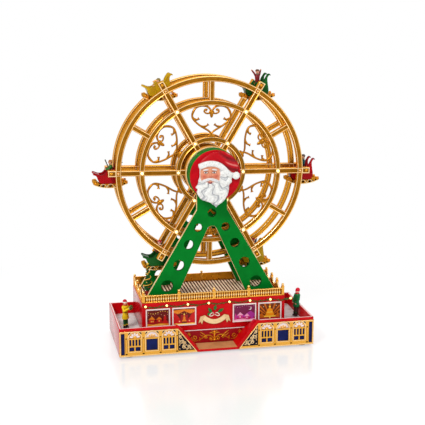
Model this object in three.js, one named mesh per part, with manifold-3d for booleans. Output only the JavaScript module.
// Table-top musical ferris wheel on a stepped fairground base, in millimetres, +Z up.
// The front faces -Y. The origin is at the bottom centre of the whole object.
import * as THREE from 'three';
import { mergeVertices } from 'three/addons/utils/BufferGeometryUtils.js';
import Module from 'manifold-3d';

const wasm = await Module();
wasm.setup();

// Fits and cuts
const seatGap = 0.25;
const runningGap = 0.35;
const doorGap = 0.4;
const overrun = 3;
const overlap = 0.6;

// Counts, angles and shares
const bayCount = 6;
const stepAngle = (Math.PI * 2) / bayCount;
const restTurn = THREE.MathUtils.degToRad(-0.8);
const rimSteps = 36;
const middleSteps = 30;
const hubSteps = 18;
const drumSteps = 24;
const holeSteps = 8;
const lampSteps = 6;
const riderSteps = 6;
const ballColumns = 8;
const ballRows = 5;
const reliefColumns = 10;
const reliefRows = 6;

// Base and its snow tray
const foot = { height: 2, radius: 6.6, inset: 12.4, sideInset: 12.6 };
const tray = {
  sideYard: 30,
  depth: 108.8,
  top: 36.4,
  wall: 3,
  floorTop: 22,
  floorThickness: 2.5,
  ledge: 7.5,
  frontLedge: 5.9,
};
const plate = { thickness: 2, grilleLength: 26, grilleWidth: 2.4, grillePitch: 6, grilleCount: 5 };
const facade = {
  thickness: 2,
  relief: 0.8,
  bottom: 2.7,
  top: 33.2,
  slopeBorder: 3.4,
  bayPitch: 20.1,
  bayHalf: 7.2,
  firstBay: 59.2,
  archFoot: 24.8,
  slotTop: 23.2,
  slotFoot: 15.6,
  slotWidth: 1.9,
  squareTop: 14,
  squareFoot: 9.2,
  squareWidth: 5.9,
  stripWidth: 4.2,
  stripInset: 1.9,
  stripFoot: 5,
  stripTop: 31,
  paneMargin: 0.7,
  gableFoot: 6,
  gableOuter: 48.2,
  gableMargin: 1.2,
};
const facadeBays = 3;
const slotCount = 4;
const recess = { floorHalf: 23.2, topHalf: 47.4, floorTop: 5.2, floorThickness: 1, liner: 2.6 };
const panel = { thickness: 1.4, relief: 0.5, strokeWidth: 1.3, scrollWidth: 20, scrollHeight: 11 };

// Stepped deck box
const box = { halfWidth: 87.5, frontYard: 24.55, top: 58.5, wall: 2.5 };
const picture = {
  width: 29.1,
  thickness: 1.6,
  border: 1.5,
  sink: 0.6,
  gap: 2.5,
  inner: 2.4,
  above: 3.4,
  below: 6.75,
};
const ribbon = { halfSpan: 13, sag: 5.6, middle: 31.6, width: 6.4, tailReach: 20, tailDrop: 3.4, depth: 1.2 };
const holly = { depth: 1.1 };
const garland = { height: 55, firstLight: 83.3, pitch: 25.4, sag: 1.7, radius: 0.9, bulb: 1.7 };
const lightCount = 8;
const deck = { thickness: 1.7, slatPitch: 3.1, groove: 0.9 };
const rail = {
  thickness: 2.4,
  barHeight: 1.9,
  height: 9.2,
  post: 3.4,
  postHeight: 11.6,
  finial: 1.75,
  groove: 1,
  balusterPitch: 3.45,
  swagLow: 3.2,
  swagHigh: 11,
  inset: 0.5,
};
const frontRailBays = 4;
const sideRailBays = 3;
const swagSteps = 6;

// Drop, berry radius, leaf length and leaf width of the holly, as shares of the room above the ribbon
const hollyShares = { drop: 0.574, berry: 0.139, length: 0.475, width: 0.218 };

// A-frames
const frame = {
  thickness: 4.5,
  setBack: 1.55,
  clearance: 1.5,
  footHalf: 80.1,
  neckHalf: 18.5,
  neckFoot: 105.1,
  innerFootHalf: 42.8,
  innerTopHalf: 4.4,
  innerTop: 82,
  headRadius: 30.7,
  topHole: 101,
  holeRadius: 5,
};

// Round holes of an A-frame: side, height and radius, as shares of its top hole's height and radius
const frameHoleShares = [
  [0, 1, 1],
  [0.1653, 0.8257, 1],
  [0.2792, 0.6248, 1.15],
  [0.399, 0.3792, 1.3],
  [0.5406, 0.1327, 1.44],
];
const drum = { depth: 17.4, wall: 1.8, discThickness: 1.4, discInset: 0.5 };
const cap = { radius: 18, depth: 11, wall: 1.8 };

// Wheel
const wheel = {
  height: 209.6,
  depth: 7.5,
  rimRadius: 110,
  middleRadius: 82.3,
  hubRadius: 39.1,
  rimWidth: 6.6,
  middleWidth: 6.2,
  hubWidth: 6,
  spokeWidth: 6.8,
  tieWidth: 6,
  groove: 1.6,
  grooveDepth: 1.2,
  blockWidth: 7,
  blockReach: 11.9,
  discRadius: 31,
  discRing: 3,
  webInset: 2,
  webThickness: 4,
  pivotReach: 8,
};
// How much of the box's depth the two wheel frames span
const spreadShare = 8 / 15;

const axle = { radius: 3, barrel: 8, collar: 8, collarLength: 2.5, rearReach: 6.2 };
const pin = { radius: 1.5, hole: 1.95 };
const heart = { tip: 46, height: 33, stroke: 1.6, sink: 1.2, thickness: 1.8, ball: 1.9 };
const lamp = {
  wire: 1,
  wireProud: 0.4,
  wireDepth: 1.1,
  height: 0.9,
  radius: 2.4,
  rimRadius: 1.5,
  innerRadius: 29,
  domeShare: 0.6,
};
const gear = { pitchRadius: 15.75, thickness: 3, inset: 4.85, tip: 0.9, root: 1.6 };
const gearTeeth = 21;
const pinionTeeth = 7;
const motor = { radius: 7, shaft: 1, shaftReach: 1.1 };

// Sleighs and their riders
const sleigh = { halfLength: 20.6, halfWidth: 8.5, wall: 1.5, runnerHole: 0.9 };
const rider = { height: 27.2, radius: 3.2, head: 2.8, arm: 1.1, seatInset: 0.25 };

// Tray figures and the tree
const figure = { height: 35, shoulder: 5.2, armRadius: 1.3, legWidth: 3.1, legDepth: 3.6, legGap: 0.9 };
const standing = { left: { yard: 16.5, y: -6 }, right: { yard: 20.9, y: -1 } };
const tree = {
  inset: 11.2,
  clearance: 0.5,
  height: 41,
  radius: 7,
  potHeight: 5.4,
  potRadius: 3.1,
  trunk: 1.3,
};

// Works inside the base and the drum
const battery = { left: -60, right: -2, depth: 47.6, wall: 1.3, top: 21.7 };
const door = { thickness: 2.3, foot: 5, top: 21, gripHeight: 1.2 };
const board = { left: 8, right: 62, depth: 27, thickness: 1.6, standoff: 1.3, chip: 9, chipHeight: 2.4 };
const slider = {
  left: 24.3,
  knob: 5,
  travel: 4,
  foot: 11.3,
  height: 3,
  flangeMargin: 1.8,
  flange: 1.7,
  housingDepth: 5.2,
};
const speaker = { x: 45, y: -3.4, radius: 18, magnet: 9, rimHeight: 3, height: 12 };

// Outlines as shares: [along, up] of the size named beside each
const heartLineShares = [
  [-0.09, -0.13],
  [0.08, 0.08],
  [0.41, 0.28],
  [0.645, 0.49],
  [0.7, 0.66],
  [0.6, 0.88],
  [0.4, 0.985],
  [0.18, 0.97],
  [0.06, 0.87],
  [0, 0.74],
];
const heartHookShares = [
  [0.685, 0.57],
  [0.56, 0.5],
  [0.43, 0.58],
];
const heartBranchShares = [
  [0.4, 0.27],
  [0.24, 0.25],
  [0.09, 0.335],
];
const heartCurlShares = [
  [0, 0.76],
  [0.13, 0.725],
  [0.245, 0.775],
];
const heartBudShares = [
  [0, 0.8],
  [0.067, 0.68],
  [0, 0.58],
  [-0.067, 0.68],
];
const hullShares = [
  [-0.99, -0.04],
  [-0.75, -0.12],
  [-0.46, -0.145],
  [-0.26, 0.01],
  [-0.13, 0.13],
  [0.22, 0.14],
  [0.32, 0.18],
  [0.365, 0.31],
  [0.445, 0.475],
  [0.53, 0.59],
  [0.6, 0.605],
  [0.7, 0.525],
  [0.59, 0.495],
  [0.535, 0.4],
  [0.525, 0.27],
  [0.54, 0.135],
  [0.6, -0.27],
  [0.56, -0.52],
  [0.39, -0.65],
  [-0.39, -0.65],
  [-0.6, -0.61],
  [-0.7, -0.42],
  [-0.78, -0.24],
  [-0.92, -0.155],
];
const cockpitShares = [
  [-0.6, 0.7],
  [-0.6, -0.32],
  [-0.45, -0.52],
  [0.25, -0.52],
  [0.31, -0.19],
  [0.34, 0.15],
  [0.8, 0.15],
  [0.8, 0.7],
];
const runnerShares = [
  [-1, -0.54],
  [-0.85, -0.48],
  [-0.73, -0.545],
  [-0.63, -0.66],
  [-0.39, -0.662],
  [0.39, -0.662],
  [0.585, -0.59],
  [0.75, -0.61],
  [1, -0.61],
  [0.95, -0.71],
  [0.68, -0.81],
  [0.34, -0.89],
  [-0.05, -0.92],
  [-0.44, -0.885],
  [-0.73, -0.81],
  [-0.95, -0.72],
  [-1, -0.62],
];
const runnerHoleShares = [
  [-0.84, -0.625],
  [-0.42, -0.78],
  [0, -0.79],
  [0.42, -0.775],
  [0.78, -0.68],
];
const scrollShares = [
  [0, -0.3],
  [0.3, 0.1],
  [0.6, 0.35],
  [0.9, 0.1],
  [0.8, -0.25],
  [0.55, -0.2],
];
const palmetteShares = [
  [0, 0.5],
  [0.16, 0.1],
  [0.1, -0.35],
  [-0.1, -0.35],
  [-0.16, 0.1],
];
const treeShares = [
  [1, 0.17],
  [0.62, 0.42],
  [0.8, 0.43],
  [0.42, 0.66],
  [0.58, 0.67],
  [0.2, 0.9],
];
const coatShares = [
  [0.62, 0.36],
  [0.78, 0.4],
  [0.72, 0.56],
  [0.95, 0.7],
  [0.7, 0.78],
  [0.3, 0.8],
];
const hatShares = [
  [0.55, 0.9],
  [0.66, 0.92],
  [0.5, 0.99],
];

// Places worked out from the sizes
const trayHalf = box.halfWidth + tray.sideYard;
const frontFace = -tray.depth / 2;
const backFace = tray.depth / 2;
const trayFront = frontFace + facade.thickness + seatGap;
const trayInnerBack = backFace - tray.wall;
const boxBack = trayInnerBack - seatGap;
const boxFront = frontFace + box.frontYard;
const boxFoot = tray.floorTop + seatGap;
const ornamentBack = boxFront - seatGap;
const plateTop = foot.height + plate.thickness;
const deckFoot = box.top + seatGap;
const deckTop = deckFoot + deck.thickness;
const railFoot = deckFoot;
const railFront = boxFront + rail.inset;
const railBack = boxBack - rail.inset;
const railEnd = box.halfWidth - rail.inset;
const wheelMiddle = (boxFront + boxBack) / 2 + frame.setBack;
const wheelSpread = (boxBack - boxFront) * spreadShare;
const wheelFront = wheelMiddle - wheelSpread / 2;
const pivotRadius = wheel.rimRadius + wheel.pivotReach;
const wheelBack = wheelMiddle + wheelSpread / 2;
const frameFootHeight = deckTop + seatGap;
const frameFront = wheelFront - frame.clearance - frame.thickness;
const frameRear = wheelBack + frame.clearance;
const drumBack = frameFront - seatGap;
const drumFront = drumBack - drum.depth;
const discBack = drumFront - seatGap;
const discFront = discBack - drum.discThickness;
const gearFront = drumBack - gear.inset;
const pinionDrop = gear.pitchRadius * (1 + pinionTeeth / gearTeeth);

// Materials
const paint = (colour, roughness = 0.45, metalness = 0) =>
  new THREE.MeshStandardMaterial({ color: colour, roughness, metalness });
const gold = () => paint('#c58a34', 0.42, 0.35);
const red = () => paint('#c2141b', 0.38);
const darkRed = () => paint('#8a1116', 0.42);
const green = () => paint('#0b7f31', 0.4);
const black = () => paint('#1b1b1d', 0.6);
const cream = () => paint('#efd9a8', 0.5);
const white = () => paint('#f2efe9', 0.5);
const steel = () => paint('#b9bdc2', 0.3, 0.9);

// Mesh and solid helpers
function toSolid(geometry) {
  const bare = new THREE.BufferGeometry();
  const source = geometry.index ? geometry.toNonIndexed() : geometry;
  bare.setAttribute('position', source.getAttribute('position').clone());
  const welded = mergeVertices(bare);
  const vertProperties = new Float32Array(welded.attributes.position.array);
  const triVerts = new Uint32Array(welded.index.array);
  const solid = new wasm.Manifold(new wasm.Mesh({ numProp: 3, vertProperties, triVerts }));
  if (solid.volume() > 0) return solid;
  for (let i = 0; i < triVerts.length; i += 3) {
    [triVerts[i + 1], triVerts[i + 2]] = [triVerts[i + 2], triVerts[i + 1]];
  }
  return new wasm.Manifold(new wasm.Mesh({ numProp: 3, vertProperties, triVerts }));
}

function toGeometry(solid) {
  const mesh = solid.getMesh();
  const geometry = new THREE.BufferGeometry();
  geometry.setAttribute('position', new THREE.BufferAttribute(new Float32Array(mesh.vertProperties), 3));
  geometry.setIndex(new THREE.BufferAttribute(new Uint32Array(mesh.triVerts), 1));
  geometry.computeVertexNormals();
  return geometry;
}

const join = (first, ...others) => others.reduce((whole, next) => whole.add(next), first);
const cut = (whole, ...tools) => tools.reduce((rest, tool) => rest.subtract(tool), whole);

const group = new THREE.Group();

function addPiece(name, solid, material, place = [0, 0, 0]) {
  const mesh = new THREE.Mesh(toGeometry(solid), material);
  mesh.name = name;
  mesh.position.set(...place);
  group.add(mesh);
}

function block([left, right], [front, back], [low, top]) {
  const geometry = new THREE.BoxGeometry(right - left, back - front, top - low);
  geometry.translate((left + right) / 2, (front + back) / 2, (low + top) / 2);
  return toSolid(geometry);
}

function outline(points, holes = []) {
  const shape = new THREE.Shape(points.map(([x, y]) => new THREE.Vector2(x, y)));
  for (const hole of holes) shape.holes.push(new THREE.Path(hole.map(([x, y]) => new THREE.Vector2(x, y))));
  return shape;
}

// An outline in X and Z, drawn out along Y
function prismY(points, front, back, holes = []) {
  const options = { depth: back - front, bevelEnabled: false };
  const geometry = new THREE.ExtrudeGeometry(outline(points, holes), options);
  geometry.rotateX(Math.PI / 2);
  geometry.translate(0, back, 0);
  return toSolid(geometry);
}

// An outline in Y and Z, drawn out along X
function prismX(points, left, right) {
  const geometry = new THREE.ExtrudeGeometry(outline(points), { depth: right - left, bevelEnabled: false });
  geometry.rotateX(Math.PI / 2);
  geometry.rotateZ(Math.PI / 2);
  geometry.translate(left, 0, 0);
  return toSolid(geometry);
}

// An outline in X and Y, drawn out along Z
function prismZ(points, low, high) {
  const geometry = new THREE.ExtrudeGeometry(outline(points), { depth: high - low, bevelEnabled: false });
  geometry.translate(0, 0, low);
  return toSolid(geometry);
}

// A profile of [radius, height] pairs turned round the Z axis at a place
function turnedZ(profile, steps, x = 0, y = 0) {
  const geometry = new THREE.LatheGeometry(profile.map(([r, z]) => new THREE.Vector2(r, z)), steps);
  geometry.rotateX(Math.PI / 2);
  geometry.translate(x, y, 0);
  return toSolid(geometry);
}

// A profile of [radius, depth] pairs turned round the Y axis at a place
function turnedY(profile, steps, x = 0, z = 0) {
  const geometry = new THREE.LatheGeometry(profile.map(([r, y]) => new THREE.Vector2(r, y)), steps);
  geometry.translate(x, 0, z);
  return toSolid(geometry);
}

function ball([x, y, z], [width, depth, height], columns = ballColumns, rows = ballRows) {
  const geometry = new THREE.SphereGeometry(1, columns, rows);
  geometry.rotateX(Math.PI / 2);
  geometry.scale(width, depth, height);
  geometry.translate(x, y, z);
  return toSolid(geometry);
}

function rod(points, radius, sides, steps) {
  const path = new THREE.CatmullRomCurve3(points.map((point) => new THREE.Vector3(...point)));
  const section = outline(circle([0, 0], radius, sides));
  return toSolid(new THREE.ExtrudeGeometry(section, { extrudePath: path, steps, bevelEnabled: false }));
}

function circle([x, y], radius, steps, from = 0, sweep = Math.PI * 2) {
  const closed = Math.abs(sweep) >= Math.PI * 2;
  return Array.from({ length: closed ? steps : steps + 1 }, (_, i) => {
    const angle = from + (sweep * i) / steps;
    return [x + radius * Math.cos(angle), y + radius * Math.sin(angle)];
  });
}

// A band of one width along a line of points
function band(points, width) {
  const sides = points.map(([x, y], i) => {
    const [ax, ay] = points[Math.max(i - 1, 0)];
    const [bx, by] = points[Math.min(i + 1, points.length - 1)];
    const length = Math.hypot(bx - ax, by - ay);
    const across = [(-(by - ay) / length) * (width / 2), ((bx - ax) / length) * (width / 2)];
    return [
      [x + across[0], y + across[1]],
      [x - across[0], y - across[1]],
    ];
  });
  return [...sides.map(([left]) => left), ...sides.map(([, right]) => right).reverse()];
}

const scaled = (shares, width, height = width) => shares.map(([a, b]) => [a * width, b * height]);
const mirrored = (points) => points.map(([x, y]) => [-x, y]);
const smoothed = (points, steps) => {
  const curve = new THREE.SplineCurve(points.map(([x, y]) => new THREE.Vector2(x, y)));
  return curve.getPoints(steps).map((p) => [p.x, p.y]);
};
const lifted = (points, rise) => points.map(([x, y]) => [x, y + rise]);

// Base tray with its snow floor, the entrance recess and the openings at the back
function recessHalfAt(height) {
  const rise = (height - recess.floorTop) / (tray.top - recess.floorTop);
  return recess.floorHalf + (recess.topHalf - recess.floorHalf) * rise;
}

function recessOutline(low, high, extra) {
  const lowHalf = recessHalfAt(low) + extra;
  const highHalf = recessHalfAt(high) + extra;
  return [
    [-lowHalf, low],
    [lowHalf, low],
    [highHalf, high],
    [-highHalf, high],
  ];
}

function makeTray() {
  const innerHalf = trayHalf - tray.wall;
  const innerFront = trayFront + tray.wall;
  const floorFoot = tray.floorTop - tray.floorThickness;
  const across = [-innerHalf, innerHalf];
  const along = [innerFront, trayInnerBack];
  const pocketBack = boxFront + panel.thickness + seatGap;
  const recessFoot = recess.floorTop - recess.floorThickness;
  const recessTop = tray.top + overrun;
  const openHalf = box.halfWidth - tray.ledge;
  let solid = block([-trayHalf, trayHalf], [trayFront, backFace], [foot.height, tray.top]);
  solid = cut(solid, block(across, along, [tray.floorTop, tray.top + overrun]));
  solid = cut(solid, block(across, along, [foot.height - overrun, floorFoot]));
  solid = join(
    solid,
    prismY(recessOutline(recessFoot, tray.floorTop, recess.liner), trayFront, pocketBack + recess.liner),
    prismY(
      recessOutline(floorFoot, tray.top, recess.liner),
      trayFront,
      ornamentBack - picture.thickness - seatGap,
    ),
  );
  solid = cut(
    solid,
    prismY(recessOutline(recess.floorTop, recessTop, 0), trayFront - overrun, pocketBack),
    block(
      [-openHalf, openHalf],
      [boxFront + tray.frontLedge, boxBack - tray.frontLedge],
      [floorFoot - overrun, recessTop],
    ),
    block(
      [battery.left - doorGap, battery.right + doorGap],
      [0, trayInnerBack],
      [floorFoot - overrun, tray.floorTop + overrun],
    ),
    block(
      [battery.left + battery.wall - doorGap, battery.right - battery.wall + doorGap],
      [trayInnerBack - overrun, backFace + overrun],
      [door.foot - doorGap, door.top + doorGap],
    ),
    block(
      [slider.left - runningGap, slider.left + slider.knob + slider.travel + runningGap],
      [trayInnerBack - overrun, backFace + overrun],
      [slider.foot - runningGap, slider.foot + slider.height + runningGap],
    ),
  );
  addPiece('base_tray', solid, red());
}

function makeBottomPlate() {
  const halfWidth = trayHalf - tray.wall - seatGap;
  const front = trayFront + tray.wall + seatGap;
  const back = trayInnerBack - seatGap;
  let solid = block([-halfWidth, halfWidth], [front, back], [foot.height, plateTop]);
  for (const x of [-trayHalf + foot.inset, trayHalf - foot.inset]) {
    for (const y of [frontFace + foot.sideInset, backFace - foot.sideInset]) {
      const profile = [
        [0, 0],
        [foot.radius, 0],
        [foot.radius, foot.height + overlap],
        [0, foot.height + overlap],
      ];
      solid = join(solid, turnedZ(profile, drumSteps / 2, x, y));
    }
  }
  const first = speaker.x - (plate.grillePitch * (plate.grilleCount - 1)) / 2;
  for (let i = 0; i < plate.grilleCount; i += 1) {
    const x = first + i * plate.grillePitch;
    const slot = block(
      [x - plate.grilleWidth / 2, x + plate.grilleWidth / 2],
      [speaker.y - plate.grilleLength / 2, speaker.y + plate.grilleLength / 2],
      [foot.height - overrun, plateTop + overrun],
    );
    solid = cut(solid, slot);
  }
  addPiece('bottom_plate', solid, black());
}

// One gold front wing: three arched bays, an end strip and a gable corner, all sunk in the plate
function makeFacade(name, side) {
  const slopeAt = (height) => recessHalfAt(height) + facade.slopeBorder;
  const across = (points) => (side < 0 ? mirrored(points) : points);
  const rectangle = (left, right, low, high) =>
    across([
      [left, low],
      [right, low],
      [right, high],
      [left, high],
    ]);
  const edge = [
    [slopeAt(facade.bottom), facade.bottom],
    [trayHalf, facade.bottom],
    [trayHalf, facade.top],
    [slopeAt(facade.top), facade.top],
  ];
  let solid = prismY(across(edge), frontFace, frontFace + facade.thickness);
  const sink = (points) => {
    solid = cut(solid, prismY(points, frontFace - overrun, frontFace + facade.relief));
  };
  for (let bay = 0; bay < facadeBays; bay += 1) {
    const middle = facade.firstBay + bay * facade.bayPitch;
    sink(across(circle([middle, facade.archFoot], facade.bayHalf, ballColumns, 0, Math.PI)));
    if (bay === 1) {
      const half = facade.bayHalf - facade.paneMargin;
      sink(rectangle(middle - half, middle + half, facade.squareFoot, facade.slotTop));
    } else {
      const pitch = (facade.bayHalf * 2) / slotCount;
      for (let i = 0; i < slotCount; i += 1) {
        const x = middle - facade.bayHalf + pitch * (i + 1 / 2);
        sink(rectangle(x - facade.slotWidth / 2, x + facade.slotWidth / 2, facade.slotFoot, facade.slotTop));
      }
      for (const turn of [-1, 1]) {
        const x = middle + (turn * facade.bayHalf) / 2;
        const half = facade.squareWidth / 2;
        sink(rectangle(x - half, x + half, facade.squareFoot, facade.squareTop));
      }
    }
  }
  const stripRight = trayHalf - facade.stripInset;
  sink(rectangle(stripRight - facade.stripWidth, stripRight, facade.stripFoot, facade.stripTop));
  const gableTop = slopeHeightAt(facade.gableOuter) - facade.gableMargin;
  sink(
    across([
      [slopeAt(facade.gableFoot) + facade.gableMargin, facade.gableFoot],
      [facade.gableOuter, facade.gableFoot],
      [facade.gableOuter, gableTop],
    ]),
  );
  addPiece(name, solid, gold());
}

function slopeHeightAt(half) {
  const share = (half - facade.slopeBorder - recess.floorHalf) / (recess.topHalf - recess.floorHalf);
  return recess.floorTop + (tray.top - recess.floorTop) * share;
}

// Entrance panel with a raised palmette and two scrolls
function makeRecessPanel() {
  const low = recess.floorTop + seatGap;
  const high = tray.floorTop;
  const middle = (low + high) / 2;
  const back = boxFront + panel.thickness;
  const reliefBack = boxFront + overlap;
  const front = boxFront - panel.relief;
  const scroll = lifted(scaled(scrollShares, panel.scrollWidth, panel.scrollHeight), middle);
  const palmette = lifted(scaled(palmetteShares, panel.scrollHeight), middle);
  const solid = join(
    prismY(recessOutline(low, high, -seatGap), boxFront, back),
    prismY(band(scroll, panel.strokeWidth), front, reliefBack),
    prismY(band(mirrored(scroll), panel.strokeWidth), front, reliefBack),
    prismY(palmette, front, reliefBack),
  );
  addPiece('recess_panel', solid, darkRed());
}

// Deck box, open below
function makeDeckBox() {
  const inner = box.halfWidth - box.wall;
  const solid = cut(
    block([-box.halfWidth, box.halfWidth], [boxFront, boxBack], [boxFoot, box.top]),
    block(
      [-inner, inner],
      [boxFront + box.wall, boxBack - box.wall],
      [boxFoot - overrun, box.top - box.wall],
    ),
  );
  addPiece('deck_box', solid, red());
}

function makePictures() {
  const step = picture.width + picture.gap;
  const first = ribbon.tailReach + picture.inner + picture.width / 2;
  const middles = [-1, 1].flatMap((side) => [0, 1].map((i) => side * (first + i * step)));
  middles.sort((a, b) => a - b);
  const up = [boxFoot + picture.below, garland.height - picture.above];
  const back = ornamentBack;
  const front = back - picture.thickness;
  middles.forEach((middle, i) => {
    const across = [middle - picture.width / 2, middle + picture.width / 2];
    const solid = cut(
      block(across, [front, back], up),
      block(
        [across[0] + picture.border, across[1] - picture.border],
        [front - overrun, front + picture.sink],
        [up[0] + picture.border, up[1] - picture.border],
      ),
    );
    addPiece(`picture_${i + 1}`, solid, white());
  });
}

// Blank ribbon with folded tails, and the holly sprig above it
function makeRibbon() {
  const front = ornamentBack - ribbon.depth;
  const line = [-1, -1 / 2, 0, 1 / 2, 1].map((share) => [
    share * ribbon.halfSpan,
    ribbon.middle + ribbon.sag * share * share,
  ]);
  const tailTop = ribbon.middle + ribbon.sag - ribbon.tailDrop + ribbon.width / 2;
  const tail = [
    [ribbon.halfSpan - ribbon.width / 2, tailTop],
    [ribbon.tailReach, tailTop + ribbon.tailDrop],
    [ribbon.tailReach - ribbon.width / 3, tailTop - ribbon.width / 4],
    [ribbon.tailReach, tailTop - ribbon.width + ribbon.tailDrop / 2],
    [ribbon.halfSpan - ribbon.width / 2, tailTop - ribbon.width],
  ];
  const solid = join(
    prismY(band(line, ribbon.width), front, ornamentBack),
    prismY(tail, front + ribbon.depth / 2, ornamentBack),
    prismY(mirrored(tail), front + ribbon.depth / 2, ornamentBack),
  );
  addPiece('ribbon_banner', solid, cream());
}

function makeHolly() {
  const front = ornamentBack - holly.depth;
  const room = garland.height - ribbon.middle - ribbon.width / 2;
  const middle = [0, garland.height - room * hollyShares.drop];
  const length = room * hollyShares.length;
  const spread = hollyShares.width / hollyShares.length;
  let solid = prismY(circle(middle, room * hollyShares.berry, holeSteps), front, ornamentBack);
  for (const turn of [Math.PI / 5, Math.PI / 2, (Math.PI * 4) / 5]) {
    const [tip] = circle(middle, length, 1, turn);
    const [left] = circle(middle, length / 2, 1, turn + spread);
    const [right] = circle(middle, length / 2, 1, turn - spread);
    solid = join(solid, prismY([middle, left, tip, right], front + seatGap, ornamentBack));
  }
  addPiece('holly_sprig', solid, green());
}

// Garland along the top edge with its warm lights
function makeGarland() {
  const y = ornamentBack - garland.bulb;
  const lights = Array.from({ length: lightCount }, (_, i) => -garland.firstLight + i * garland.pitch);
  const last = box.halfWidth - garland.bulb;
  lights[lightCount - 1] = Math.min(lights[lightCount - 1], last);
  const points = lights.flatMap((x, i) => {
    if (i === lights.length - 1) return [[x, y, garland.height]];
    return [
      [x, y, garland.height],
      [(x + lights[i + 1]) / 2, y, garland.height - garland.sag],
    ];
  });
  let solid = rod(points, garland.radius, 4, points.length - 1);
  for (const x of lights) {
    const radii = [garland.bulb, garland.bulb, garland.bulb];
    solid = join(solid, ball([x, y, garland.height], radii, lampSteps, 3));
  }
  addPiece('garland_lights', solid, green());
}

// Deck with slats running from front to back
function makeDeck() {
  const half = railEnd - rail.post - seatGap;
  const slats = Math.floor((half * 2) / deck.slatPitch);
  const top = Array.from({ length: slats * 2 + 1 }, (_, i) => [
    half - (half * i) / slats,
    i % 2 ? deckTop : deckTop - deck.groove,
  ]);
  const profile = [[-half, deckFoot], [half, deckFoot], ...top];
  const solid = prismY(profile, railFront + rail.post + seatGap, railBack - rail.post - seatGap);
  addPiece('deck', solid, cream());
}

function post(x, y) {
  const half = rail.post / 2;
  const neck = railFoot + rail.postHeight;
  const finial = [x, y, neck + rail.finial * 0.8];
  return join(
    block([x - half, x + half], [y - half, y + half], [railFoot, neck]),
    ball(finial, [rail.finial, rail.finial, rail.finial], 6, 4),
  );
}

// A straight balustrade: fluted balusters between two bars, with posts and ball finials
function makeStraightRail(name, outer, inward, fluted) {
  const inner = outer + inward * rail.thickness;
  const along = inward > 0 ? [outer, inner] : [inner, outer];
  const half = railEnd - rail.post;
  const count = Math.round((half * 2) / rail.balusterPitch);
  const face = outer + inward * rail.groove;
  const plain = [
    [half, face],
    [-half, face],
  ];
  const flutes = Array.from({ length: count * 2 + 1 }, (_, i) => [
    half - (half * i) / count,
    outer + inward * (i % 2 ? 0 : rail.groove),
  ]);
  const barTop = railFoot + rail.height;
  const ends = [
    [-half, inner],
    [half, inner],
  ];
  const across = [-railEnd + overlap, railEnd - overlap];
  let solid = join(
    prismZ([...ends, ...(fluted ? flutes : plain)], railFoot, barTop),
    block(across, along, [railFoot, railFoot + rail.barHeight]),
    block(across, along, [barTop - rail.barHeight, barTop]),
  );
  const middle = outer + (inward * rail.post) / 2;
  for (let i = 0; i <= frontRailBays; i += 1) {
    const reach = railEnd - rail.post / 2;
    solid = join(solid, post(-reach + (2 * reach * i) / frontRailBays, middle));
  }
  addPiece(name, solid, gold());
}

// A side rail: swags that dip between posts
function makeSideRail(name, side) {
  const front = railFront + rail.post + seatGap;
  const back = railBack - rail.post - seatGap;
  const pitch = (back - front) / sideRailBays;
  const steps = swagSteps * sideRailBays;
  const top = Array.from({ length: steps + 1 }, (_, i) => {
    const share = ((i % swagSteps) / swagSteps) * 2 - 1;
    const rise = (rail.swagHigh - rail.swagLow) * share * share;
    return [back - ((back - front) * i) / steps, railFoot + rail.swagLow + rise];
  });
  const outer = side * railEnd;
  const inner = outer - side * rail.thickness;
  const low = [
    [front, railFoot],
    [back, railFoot],
  ];
  let solid = prismX([...low, ...top], Math.min(inner, outer), Math.max(inner, outer));
  for (let i = 1; i < sideRailBays; i += 1) {
    solid = join(solid, post(outer - (side * rail.post) / 2, front + pitch * i));
  }
  addPiece(name, solid, gold());
}

// One A-frame plate, with its round head and the holes down its legs
function makeFrame(name, front) {
  const start = frameFootHeight;
  const back = front + frame.thickness;
  const rise = Math.acos(frame.neckHalf / frame.headRadius);
  const head = circle([0, wheel.height], frame.headRadius, drumSteps, -rise, Math.PI + rise * 2);
  const edge = [
    [frame.innerFootHalf, start],
    [frame.footHalf, start],
    [frame.neckHalf, start + frame.neckFoot],
    ...head,
    [-frame.neckHalf, start + frame.neckFoot],
    [-frame.footHalf, start],
    [-frame.innerFootHalf, start],
    [-frame.innerTopHalf, start + frame.innerTop],
    [frame.innerTopHalf, start + frame.innerTop],
  ];
  const holes = frameHoleShares.flatMap(([side, height, radius]) => {
    const sides = side ? [-side, side] : [0];
    const holeHeight = start + height * frame.topHole;
    return sides.map((x) => circle([x * frame.topHole, holeHeight], radius * frame.holeRadius, holeSteps));
  });
  holes.push(circle([0, wheel.height], axle.radius + runningGap, drumSteps / 2));
  addPiece(name, prismY(edge, front, back, holes), green());
}

function cup(front, back, radius, wall) {
  return [
    [0, front],
    [radius, front],
    [radius, back],
    [radius - wall, back],
    [radius - wall, front + wall],
    [0, front + wall],
  ];
}

function makeDrum() {
  const shell = cup(drumFront, drumBack, frame.headRadius, drum.wall);
  addPiece('medallion_drum', turnedY(shell, drumSteps, 0, wheel.height), green());
  const discRadius = frame.headRadius - drum.discInset;
  const disc = [
    [0, discFront],
    [discRadius, discFront],
    [discRadius, discBack],
    [0, discBack],
  ];
  addPiece('medallion_disc', turnedY(disc, drumSteps, 0, wheel.height), red());
  const capBack = frameRear + frame.thickness + seatGap + cap.depth;
  const rearCap = cup(-capBack, -capBack + cap.depth, cap.radius, cap.wall).map(([r, y]) => [r, -y]);
  addPiece('rear_cap', turnedY(rearCap, drumSteps, 0, wheel.height), green());
}

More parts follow.
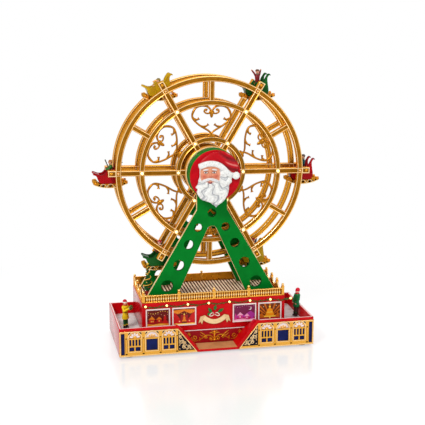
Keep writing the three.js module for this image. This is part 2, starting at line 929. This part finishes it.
// Bearded winter gift bringer in low relief: face, beard, moustache, cap, fur brim and bobble
const relief = {
  face: { x: -6.5, up: 2.5, width: 13, height: 12, depth: 6.4 },
  beard: { x: -2.5, up: -14, width: 20.5, height: 15, depth: 6 },
  beardTip: { x: 0, up: -27.5, width: 9.5, height: 9.5, depth: 5 },
  hair: { x: 13.4, up: 1, width: 6.6, height: 13, depth: 5.4 },
  moustacheLeft: { x: -15, up: -6.2, width: 6, height: 2.8, depth: 7.4 },
  moustacheRight: { x: -3, up: -6.2, width: 6.6, height: 2.8, depth: 7.8 },
  nose: { x: -9, up: -1.4, width: 2.2, height: 2.2, depth: 8 },
  brim: { x: -6.5, up: 14, width: 14, height: 4.4, depth: 7.4 },
  crown: { x: 4, up: 17, width: 19.5, height: 12, depth: 6 },
  fold: { x: 17.6, up: 10, width: 8, height: 9, depth: 4.6 },
  bobble: { x: 23.5, up: 0, width: 4.7, height: 4.7, depth: 4.7 },
};

function makeMedallionHead() {
  const back = discFront - seatGap;
  const lumps = Object.values(relief).map(({ x, up, width, height, depth }) =>
    ball([x, back, wheel.height + up], [width, depth, height], reliefColumns, reliefRows),
  );
  let solid = join(...lumps);
  const reach = frame.headRadius * 2;
  const behind = block([-reach, reach], [back, back + reach], [wheel.height - reach, wheel.height + reach]);
  solid = cut(solid, behind);
  addPiece('medallion_head', solid, white());
}

// Wheel helpers: places in the plane of the wheel, turned with it
const spokeAngle = (index) => index * stepAngle + restTurn;
const atWheel = (points) => lifted(points, wheel.height);

// Points given as [side, outward] from the wheel's centre, laid along one angle
function alongAngle(points, angle) {
  const [ux, uz] = [Math.cos(angle), Math.sin(angle)];
  return points.map(([side, outward]) => [ux * outward + uz * side, uz * outward - ux * side]);
}

function wheelBar(angle, inner, outer, width, front, back) {
  const points = [
    [-width / 2, inner],
    [width / 2, inner],
    [width / 2, outer],
    [-width / 2, outer],
  ];
  return prismY(atWheel(alongAngle(points, angle)), front, back);
}

function wheelRing(radius, width, steps, front, back) {
  const outer = atWheel(circle([0, 0], radius + width / 2, steps, restTurn));
  const inner = atWheel(circle([0, 0], radius - width / 2, steps, restTurn));
  return prismY(outer, front, back, [inner]);
}

const rings = [
  { radius: wheel.rimRadius, width: wheel.rimWidth, steps: rimSteps },
  { radius: wheel.middleRadius, width: wheel.middleWidth, steps: middleSteps },
  { radius: wheel.hubRadius, width: wheel.hubWidth, steps: hubSteps },
];

// Rims, spokes, ties, hub disc and the pivot pins that one wheel frame carries
function wheelSkeleton(front, inward) {
  const back = front + wheel.depth;
  const [first, ...rest] = rings.map(({ radius, width, steps }) =>
    wheelRing(radius, width, steps, front, back),
  );
  let solid = join(first, ...rest);
  const sleighSide = wheelMiddle - inward * (sleigh.halfWidth - sleigh.wall - seatGap);
  for (let i = 0; i < bayCount; i += 1) {
    const angle = spokeAngle(i);
    const tieAngle = angle + stepAngle / 2;
    const [pivot] = atWheel(alongAngle([[0, pivotRadius]], angle));
    const pinEnds = inward > 0 ? [back - overlap, sleighSide] : [sleighSide, front + overlap];
    solid = join(
      solid,
      wheelBar(angle, wheel.discRadius - wheel.discRing, wheel.rimRadius, wheel.spokeWidth, front, back),
      wheelBar(angle, wheel.rimRadius, wheel.rimRadius + wheel.blockReach, wheel.blockWidth, front, back),
      wheelBar(tieAngle, wheel.middleRadius, wheel.rimRadius, wheel.tieWidth, front, back),
      prismY(circle(pivot, pin.radius, holeSteps), ...pinEnds),
    );
  }
  const webFront = front + wheel.webInset;
  const disc = [
    [axle.radius + seatGap, webFront],
    [wheel.discRadius, webFront],
    [wheel.discRadius, webFront + wheel.webThickness],
    [axle.radius + seatGap, webFront + wheel.webThickness],
    [axle.radius + seatGap, webFront],
  ];
  const discBand = wheelRing(wheel.discRadius - wheel.discRing / 2, wheel.discRing, hubSteps, front, back);
  return join(solid, turnedY(disc, hubSteps, 0, wheel.height), discBand);
}

function heartPanel(angle) {
  const front = wheelFront + heart.sink;
  const back = front + heart.thickness;
  const place = (points) =>
    atWheel(alongAngle(points.map(([side, out]) => [side, out + heart.tip]), angle));
  const strip = (shares, steps, side) => {
    const line = smoothed(scaled(shares, heart.height * side, heart.height), steps);
    return prismY(place(band(line, heart.stroke)), front, back);
  };
  const [curlEnd] = scaled(heartCurlShares.slice(-1), heart.height);
  let solid = prismY(place(scaled(heartBudShares, heart.height)), front, back);
  for (const side of [-1, 1]) {
    solid = join(
      solid,
      strip(heartLineShares, 8, side),
      strip(heartHookShares, 2, side),
      strip(heartBranchShares, 2, side),
      strip(heartCurlShares, 2, side),
      prismY(place(circle([curlEnd[0] * side, curlEnd[1]], heart.ball, 5)), front, back),
    );
  }
  return solid;
}

function makeWheelFrames() {
  let front = wheelSkeleton(wheelFront, 1);
  for (let i = 0; i < bayCount; i += 1) front = join(front, heartPanel(spokeAngle(i) + stepAngle / 2));
  const grooveFront = wheelFront - overrun;
  const grooveBack = wheelFront + wheel.grooveDepth;
  for (const { radius, steps } of rings) {
    front = cut(front, wheelRing(radius, wheel.groove, steps, grooveFront, grooveBack));
  }
  const grooveEnd = wheel.rimRadius;
  for (let i = 0; i < bayCount; i += 1) {
    const angle = spokeAngle(i);
    front = cut(
      front,
      wheelBar(angle, lamp.innerRadius, grooveEnd, wheel.groove, grooveFront, grooveBack),
      wheelBar(angle + stepAngle / 2, wheel.middleRadius, grooveEnd, wheel.groove, grooveFront, grooveBack),
    );
  }
  addPiece('wheel_frame_front', front, gold());
  addPiece('wheel_frame_rear', wheelSkeleton(wheelBack - wheel.depth, -1), gold());
}

// Lamp loom: a ring of wire at the hub, six leads in the spoke grooves and four lamps on each
function makeLampLoom() {
  const front = wheelFront - lamp.wireProud;
  const wireBack = front + lamp.wireDepth;
  const lampAt = (angle, reach, size) => {
    const [[x, z]] = atWheel(alongAngle([[0, reach]], angle));
    const profile = [
      [0, front - lamp.height],
      [size * lamp.domeShare, front - lamp.height],
      [size, front - lamp.height / 2],
      [size, front + lamp.wireProud / 2],
      [0, front + lamp.wireProud / 2],
    ];
    return turnedY(profile, lampSteps, x, z);
  };
  let solid = wheelRing(wheel.hubRadius, lamp.wire, hubSteps, front, wireBack);
  for (let i = 0; i < bayCount; i += 1) {
    const angle = spokeAngle(i);
    solid = join(
      solid,
      wheelBar(angle, lamp.innerRadius, wheel.rimRadius, lamp.wire, front, wireBack),
      lampAt(angle, lamp.innerRadius, lamp.rimRadius),
      lampAt(angle, wheel.hubRadius, lamp.radius),
      lampAt(angle, wheel.middleRadius, lamp.radius),
      lampAt(angle, wheel.rimRadius, lamp.rimRadius),
    );
  }
  addPiece('lamp_loom', solid, paint('#fff1b8', 0.3));
}

// Axle with its hub barrel and slip collar, and the gear on its front end
function makeAxle() {
  const barrelFront = wheelFront + wheel.webInset + wheel.webThickness + seatGap;
  const barrelBack = wheelBack - wheel.depth + wheel.webInset - seatGap;
  const collarFront = frameRear + frame.thickness + seatGap * 2;
  const end = frameRear + frame.thickness + axle.rearReach;
  const profile = [
    [0, gearFront - seatGap],
    [axle.radius, gearFront - seatGap],
    [axle.radius, barrelFront],
    [axle.barrel, barrelFront],
    [axle.barrel, barrelBack],
    [axle.radius, barrelBack],
    [axle.radius, collarFront],
    [axle.collar, collarFront],
    [axle.collar, collarFront + axle.collarLength],
    [axle.radius, collarFront + axle.collarLength],
    [axle.radius, end],
    [0, end],
  ];
  addPiece('axle', turnedY(profile, drumSteps / 2, 0, wheel.height), steel());
}

// Trapezoid teeth: root, tip, tip and root points for each tooth
const toothShares = [-0.22, -0.1, 0.1, 0.22];

function gearOutline(teeth, pitchRadius, turn) {
  const step = (Math.PI * 2) / teeth;
  return Array.from({ length: teeth }, (_, tooth) =>
    toothShares.map((share, i) => {
      const radius = i === 1 || i === 2 ? pitchRadius + gear.tip : pitchRadius - gear.root;
      const angle = turn + (tooth + share) * step;
      return [radius * Math.cos(angle), radius * Math.sin(angle)];
    }),
  ).flat();
}

function makeGears() {
  const back = gearFront + gear.thickness;
  const down = -Math.PI / 2;
  const bore = atWheel(circle([0, 0], axle.radius + seatGap, drumSteps / 2));
  const wheelGear = atWheel(gearOutline(gearTeeth, gear.pitchRadius, down));
  addPiece('axle_gear', prismY(wheelGear, gearFront, back, [bore]), white());
  const pinionHeight = wheel.height - pinionDrop;
  const pinionRadius = (gear.pitchRadius * pinionTeeth) / gearTeeth;
  const pinionTurn = -down + Math.PI / pinionTeeth;
  const pinion = lifted(gearOutline(pinionTeeth, pinionRadius, pinionTurn), pinionHeight);
  const shaftFront = gearFront - motor.shaftReach;
  const shaft = prismY(circle([0, pinionHeight], motor.shaft, holeSteps), shaftFront, back + seatGap);
  addPiece('drive_pinion', join(prismY(pinion, gearFront, back), shaft), white());
  const motorBack = shaftFront - seatGap;
  const can = circle([0, pinionHeight], motor.radius, drumSteps / 2);
  addPiece('drive_motor', prismY(can, drumFront + drum.wall + seatGap, motorBack), steel());
}

// Sleighs, runners and riders, built round the pivot and hung at the spoke ends
const sleighPaints = ['#b3141c', '#11702f', '#c9a21a', '#c01a1f', '#157a35', '#d1aa1e'];
const riders = [
  { coat: '#1c6f73', lean: 0.21, tall: 1, armsUp: false },
  { coat: '#5b2a1d', lean: 0.12, tall: 1.04, armsUp: true },
  { coat: '#a8821f', lean: 0.05, tall: 0.65, armsUp: false },
  { coat: '#1f6a3c', lean: 0.16, tall: 0.89, armsUp: false },
  { coat: '#a91c1f', lean: 0.18, tall: 1, armsUp: false },
  { coat: '#31547f', lean: 0.12, tall: 0.95, armsUp: true },
];

function sleighHull() {
  const front = wheelMiddle - sleigh.halfWidth;
  const back = wheelMiddle + sleigh.halfWidth;
  const side = scaled(hullShares, sleigh.halfLength);
  const cockpit = scaled(cockpitShares, sleigh.halfLength);
  return cut(
    prismY(side, front, back),
    prismY(cockpit, front + sleigh.wall, back - sleigh.wall),
    prismY(circle([0, 0], pin.hole, holeSteps), front - overrun, back + overrun),
  );
}

function sleighRunner() {
  const places = scaled(runnerHoleShares, sleigh.halfLength);
  const holes = places.map((place) => circle(place, sleigh.runnerHole, 4));
  const side = scaled(runnerShares, sleigh.halfLength);
  return prismY(side, wheelMiddle - sleigh.halfWidth, wheelMiddle + sleigh.halfWidth, holes);
}

const riderBodyShares = [
  [0, 0],
  [0.8, 0],
  [0.95, 0.25],
  [0.72, 0.55],
  [1, 0.8],
  [0.45, 1],
  [0, 1],
];
const riderArmShares = [
  [0.3, 0.85],
  [-0.9, 0.66],
  [-2, 0.68],
];
const riderRaisedShares = [
  [
    [-0.5, 0.84],
    [-1.2, 1],
    [-2.25, 1.2],
  ],
  [
    [0.5, 0.84],
    [0.95, 1],
    [1.25, 1.22],
  ],
];

function riderArms(armsUp, x, seat, bodyHeight) {
  const arm = (shares, y) => {
    const points = shares.map(([along, up]) => [x + along * rider.radius, y, seat + up * bodyHeight]);
    return rod(points, rider.arm, 4, 2);
  };
  if (armsUp) return riderRaisedShares.map((shares) => arm(shares, wheelMiddle));
  return [-1, 1].map((side) => arm(riderArmShares, wheelMiddle + side * rider.radius * 0.9));
}

function sleighRider({ lean, tall, armsUp }) {
  const seat = cockpitShares[2][1] * sleigh.halfLength + rider.seatInset;
  const x = (cockpitShares[2][0] + cockpitShares[3][0]) * (sleigh.halfLength / 2) + lean * sleigh.halfLength;
  const bodyHeight = rider.height * tall - rider.head * 1.8;
  const body = riderBodyShares.map(([r, z]) => [r * rider.radius, seat + z * bodyHeight]);
  const headHeight = seat + bodyHeight + rider.head * 0.8;
  return join(
    turnedZ(body, riderSteps, x, wheelMiddle),
    ball([x, wheelMiddle, headHeight], [rider.head, rider.head, rider.head], riderSteps, 4),
    ...riderArms(armsUp, x, seat, bodyHeight),
  );
}

function makeSleighs() {
  for (let i = 0; i < bayCount; i += 1) {
    const [[x, z]] = atWheel(alongAngle([[0, pivotRadius]], spokeAngle(i)));
    const place = [x, 0, z];
    addPiece(`sleigh_${i + 1}`, sleighHull(), paint(sleighPaints[i], 0.4), place);
    addPiece(`runner_${i + 1}`, sleighRunner(), gold(), place);
    addPiece(`rider_${i + 1}`, sleighRider(riders[i]), paint(riders[i].coat, 0.55), place);
  }
}

// Standing figures on the snow
function makeFigure(name, end, { yard, y }, coat, handsUp) {
  const x = end * (box.halfWidth + yard);
  const floor = tray.floorTop + seatGap;
  const { height, shoulder } = figure;
  const up = (share) => floor + height * share;
  const legTop = up(coatShares[0][1]) + overlap;
  const legReach = figure.legGap / 2 + figure.legWidth;
  const hipWidth = shoulder * coatShares[0][0];
  const coatBody = coatShares.map(([r, z]) => [r * shoulder, up(z)]);
  const headHeight = up(0.86);
  const hat = hatShares.map(([r, z]) => [r * shoulder, up(z)]);
  const arms = [-1, 1].map((side) => {
    const shoulderPoint = [x + side * shoulder * 0.8, y, up(0.72)];
    const elbow = [x + side * shoulder * 1.15, y - (handsUp ? shoulder * 0.4 : 0), up(0.58)];
    const hand = handsUp
      ? [x + side * shoulder * 0.5, y - shoulder * 1.2, up(0.68)]
      : [x + side * shoulder * 0.95, y - shoulder * 0.35, up(0.44)];
    return rod([shoulderPoint, elbow, hand], figure.armRadius, 5, 4);
  });
  const legs = [-1, 1].map((side) =>
    block(
      side < 0 ? [x - legReach, x - figure.legGap / 2] : [x + figure.legGap / 2, x + legReach],
      [y - figure.legDepth / 2, y + figure.legDepth / 2],
      [floor, legTop],
    ),
  );
  const hem = coatBody[0][1];
  const coatProfile = [[0, hem], [hipWidth, hem], ...coatBody.slice(1), [0, up(0.8)]];
  const solid = join(
    turnedZ(coatProfile, holeSteps, x, y),
    ...legs,
    ball([x, y, headHeight], [shoulder * 0.52, shoulder * 0.52, height * 0.085], holeSteps, 5),
    turnedZ([[0, hat[0][1]], ...hat, [0, up(1)]], holeSteps, x, y),
    ...arms,
  );
  addPiece(name, solid, paint(coat, 0.55));
}

function makeTree() {
  const start = deckTop + seatGap;
  const x = tree.inset - box.halfWidth;
  const y = frameFront + frame.thickness + tree.clearance + tree.radius;
  const potTop = start + tree.potHeight;
  const tiers = treeShares.map(([r, z]) => [r * tree.radius, start + z * tree.height]);
  const profile = [
    [0, start],
    [tree.potRadius * 0.8, start],
    [tree.potRadius, potTop],
    [tree.trunk, potTop],
    [tree.trunk, tiers[0][1] - overlap],
    ...tiers,
    [0, start + tree.height],
  ];
  addPiece('fir_tree', turnedZ(profile, holeSteps, x, y), green());
}

// Battery box open to the back, and its hinged door in the tray's back wall
function makeBattery() {
  const start = plateTop + seatGap;
  const back = trayInnerBack - seatGap;
  const front = back - battery.depth;
  const outer = block([battery.left, battery.right], [front, back], [start, battery.top]);
  const inner = block(
    [battery.left + battery.wall, battery.right - battery.wall],
    [front + battery.wall, back + overrun],
    [start + battery.wall, battery.top - battery.wall],
  );
  addPiece('battery_box', cut(outer, inner), black());
  const left = battery.left + battery.wall;
  const right = battery.right - battery.wall;
  const doorFront = backFace - door.thickness;
  const middle = (left + right) / 2;
  const gripHalf = (right - left) / 6;
  const grip = block(
    [middle - gripHalf, middle + gripHalf],
    [backFace - door.thickness / 3, backFace + overrun],
    [door.top - door.gripHeight * 2, door.top - door.gripHeight],
  );
  const leaf = block([left, right], [doorFront, backFace], [door.foot, door.top]);
  addPiece('battery_door', cut(leaf, grip), red());
}

// Circuit board on the bottom plate with the switch housing at its back edge
function makeBoard() {
  const back = trayInnerBack - seatGap - slider.flange - seatGap;
  const front = back - board.depth;
  const start = plateTop + seatGap;
  const boardFoot = start + board.standoff;
  const boardTop = boardFoot + board.thickness;
  const housingTop = slider.foot + slider.height + slider.flangeMargin;
  const housingLeft = slider.left - slider.flangeMargin;
  const housingRight = slider.left + slider.knob + slider.travel + slider.flangeMargin;
  let solid = block([board.left, board.right], [front, back], [boardFoot, boardTop]);
  const corner = board.standoff * 2;
  for (const x of [board.left, board.right - corner]) {
    for (const y of [front, back - corner]) {
      solid = join(solid, block([x, x + corner], [y, y + corner], [start, boardFoot + overlap]));
    }
  }
  solid = join(
    solid,
    block([housingLeft, housingRight], [back - slider.housingDepth, back], [boardFoot, housingTop]),
    block(
      [board.right - board.chip * 2, board.right - board.chip],
      [front + board.chip / 2, front + (board.chip * 3) / 2],
      [boardFoot, boardTop + board.chipHeight],
    ),
  );
  addPiece('circuit_board', solid, paint('#1d5c34', 0.5));
  const flangeBack = trayInnerBack - seatGap;
  const knobRight = slider.left + slider.knob;
  const knobTop = slider.foot + slider.height;
  const knob = join(
    block([slider.left, knobRight], [flangeBack - overlap, backFace], [slider.foot, knobTop]),
    block(
      [slider.left - slider.flangeMargin, knobRight + slider.flangeMargin],
      [flangeBack - slider.flange, flangeBack],
      [slider.foot - slider.flangeMargin, knobTop + slider.flangeMargin],
    ),
  );
  addPiece('power_switch', knob, black());
}

function makeSpeaker() {
  const start = plateTop + seatGap;
  const profile = [
    [0, start],
    [speaker.radius, start],
    [speaker.radius, start + speaker.rimHeight],
    [speaker.magnet, start + speaker.height / 2],
    [speaker.magnet, start + speaker.height],
    [0, start + speaker.height],
  ];
  addPiece('speaker', turnedZ(profile, drumSteps / 2, speaker.x, speaker.y), black());
}

// Everything, from the floor up
makeTray();
makeBottomPlate();
makeFacade('facade_left', -1);
makeFacade('facade_right', 1);
makeRecessPanel();
makeDeckBox();
makePictures();
makeRibbon();
makeHolly();
makeGarland();
makeDeck();
makeStraightRail('rail_front', railFront, 1, true);
makeStraightRail('rail_back', railBack, -1, false);
makeSideRail('rail_left', -1);
makeSideRail('rail_right', 1);
makeFrame('a_frame_front', frameFront);
makeFrame('a_frame_rear', frameRear);
makeDrum();
makeMedallionHead();
makeWheelFrames();
makeLampLoom();
makeAxle();
makeGears();
makeSleighs();
makeFigure('figure_left', -1, standing.left, '#d8b21c', true);
makeFigure('figure_right', 1, standing.right, '#17643a', false);
makeTree();
makeBattery();
makeBoard();
makeSpeaker();

export default group;
